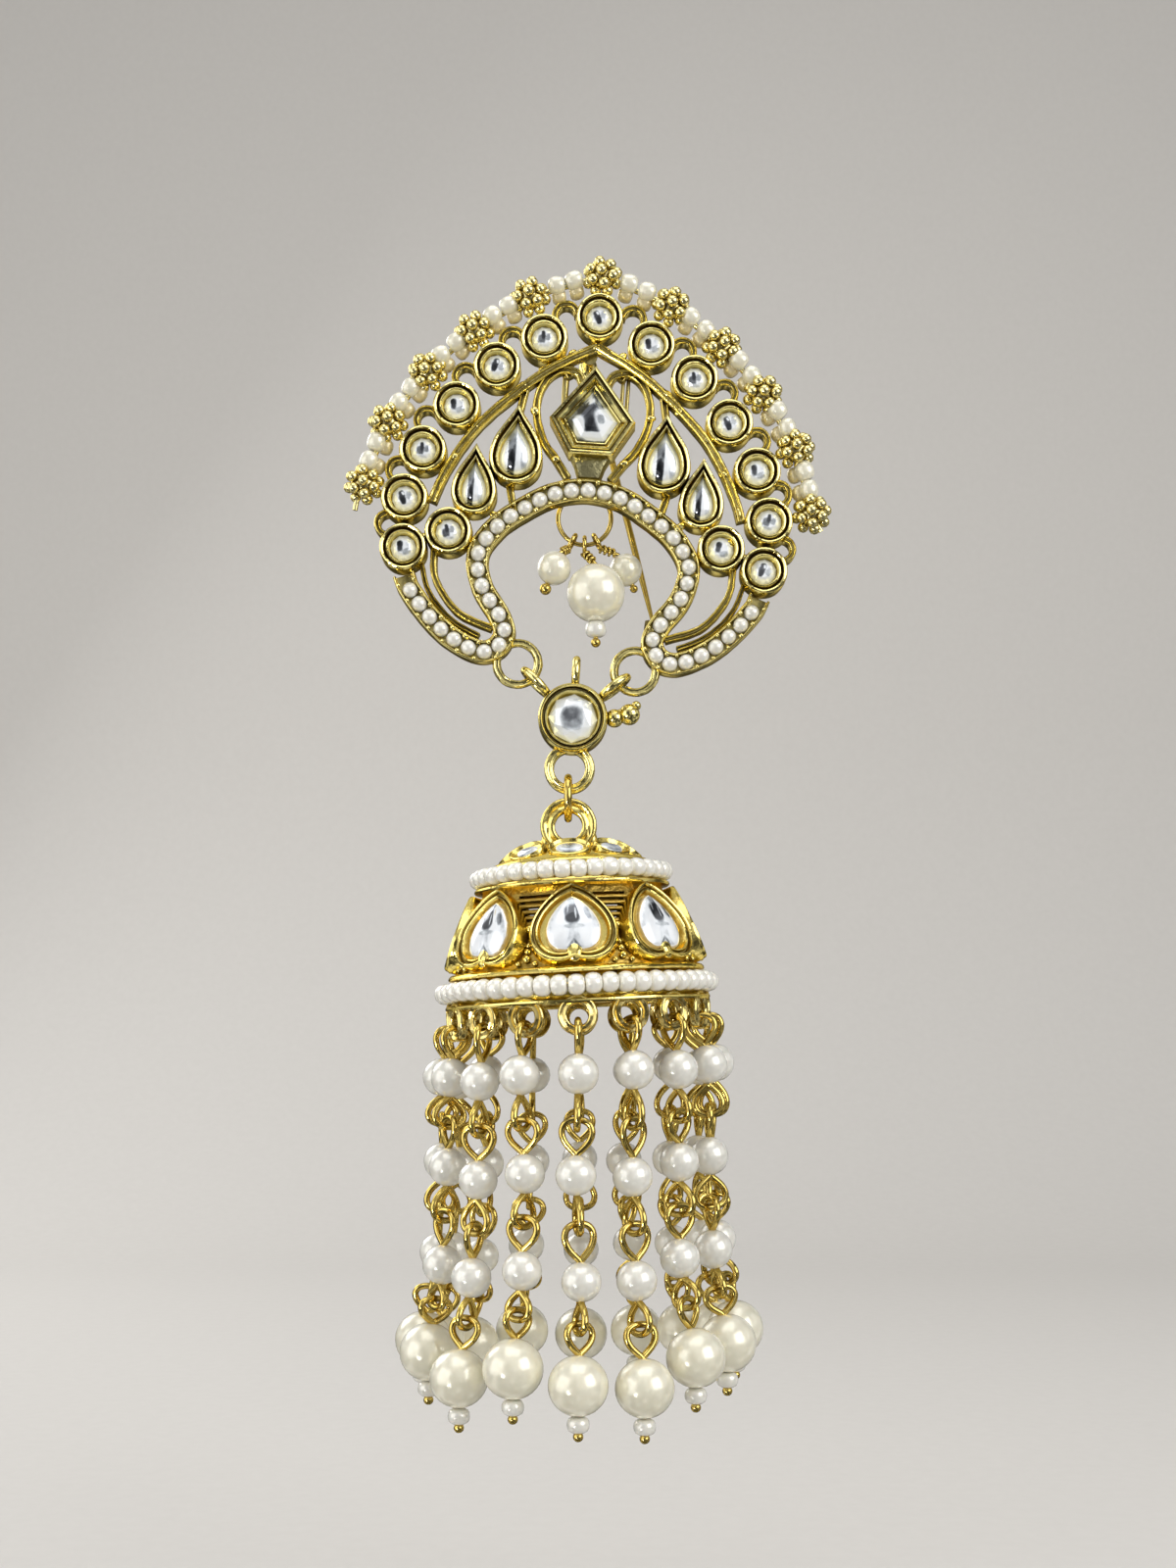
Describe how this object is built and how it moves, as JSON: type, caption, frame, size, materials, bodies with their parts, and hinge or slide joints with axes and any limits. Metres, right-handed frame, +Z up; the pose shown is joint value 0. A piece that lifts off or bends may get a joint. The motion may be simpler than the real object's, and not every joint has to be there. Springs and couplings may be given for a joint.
{
  "type": "hair brooch",
  "caption": "Gold-tone hair brooch: a crescent head of set stones and pearls, a round link and a domed drop hung with pearl strings.",
  "frame": {"origin": "middle of the head's kite-shaped setting, in the head's flat back plane, where the brooch is pinned on", "axes": "+Z up along the hanging brooch, the front with the stones faces -Y, +X to the right as it is looked at"},
  "size_m": [0.0499, 0.038, 0.1187],
  "materials": {
    "antique_gold": "bright gold plating, dark in the recesses",
    "crystal": "clear faceted stones over gold or dark foil",
    "white_pearl": "cool white imitation pearl",
    "cream_pearl": "ivory imitation pearl"
  },
  "bodies": {
    "head": {"head_frame": "antique_gold", "centre_stone": "crystal", "pear_stone_large_right": "crystal", "pear_stone_small_right": "crystal", "pear_stone_large_left": "crystal", "pear_stone_small_left": "crystal", "round_stone_top": "crystal", "round_stone_right_1": "crystal", "round_stone_right_2": "crystal", "round_stone_right_3": "crystal", "round_stone_right_4": "crystal", "round_stone_right_5": "crystal", "round_stone_right_6": "crystal", "round_stone_right_7": "crystal", "round_stone_left_1": "crystal", "round_stone_left_2": "crystal", "round_stone_left_3": "crystal", "round_stone_left_4": "crystal", "round_stone_left_5": "crystal", "round_stone_left_6": "crystal", "round_stone_left_7": "crystal", "half_pearl_row": "white_pearl", "rim_bead_row": "antique_gold", "hair_pin": "antique_gold", "cluster_ring": "antique_gold", "cluster_pearl_large": "cream_pearl", "cluster_pearl_left": "cream_pearl", "cluster_pearl_right": "cream_pearl"},
    "connector": {"connector": "antique_gold", "connector_stone": "crystal"},
    "jump_ring": {"jump_ring": "antique_gold"},
    "drop": {"dome": "antique_gold", "upper_pearl_ring": "white_pearl", "lower_pearl_ring": "white_pearl", "heart_stone_1": "crystal", "heart_stone_2": "crystal", "heart_stone_3": "crystal", "heart_stone_4": "crystal", "heart_stone_5": "crystal", "heart_stone_6": "crystal", "heart_stone_7": "crystal", "heart_stone_8": "crystal", "pearl_string_01": "white_pearl", "pearl_string_02": "white_pearl", "pearl_string_03": "white_pearl", "pearl_string_04": "white_pearl", "pearl_string_05": "white_pearl", "pearl_string_06": "white_pearl", "pearl_string_07": "white_pearl", "pearl_string_08": "white_pearl", "pearl_string_09": "white_pearl", "pearl_string_10": "white_pearl", "pearl_string_11": "white_pearl", "pearl_string_12": "white_pearl", "pearl_string_13": "white_pearl", "pearl_string_14": "white_pearl", "pearl_string_15": "white_pearl", "pearl_string_16": "white_pearl"}
  },
  "joints": [
    {"name": "connector_swing", "type": "hinge", "parent": "head", "child": "connector", "pos_m": [-0.00174, -0.0012, -0.02624], "axis": [0.9978, 0, -0.0663], "range_deg": [-30, 30]},
    {"name": "ring_swing", "type": "hinge", "parent": "connector", "child": "jump_ring", "pos_m": [-0.00253, -0.0012, -0.03812], "axis": [1, 0, 0], "range_deg": [-45, 45]},
    {"name": "drop_sway", "type": "hinge", "parent": "jump_ring", "child": "drop", "pos_m": [-0.00253, -0.0012, -0.04112], "axis": [0, 1, 0], "range_deg": [-35, 35]}
  ]
}
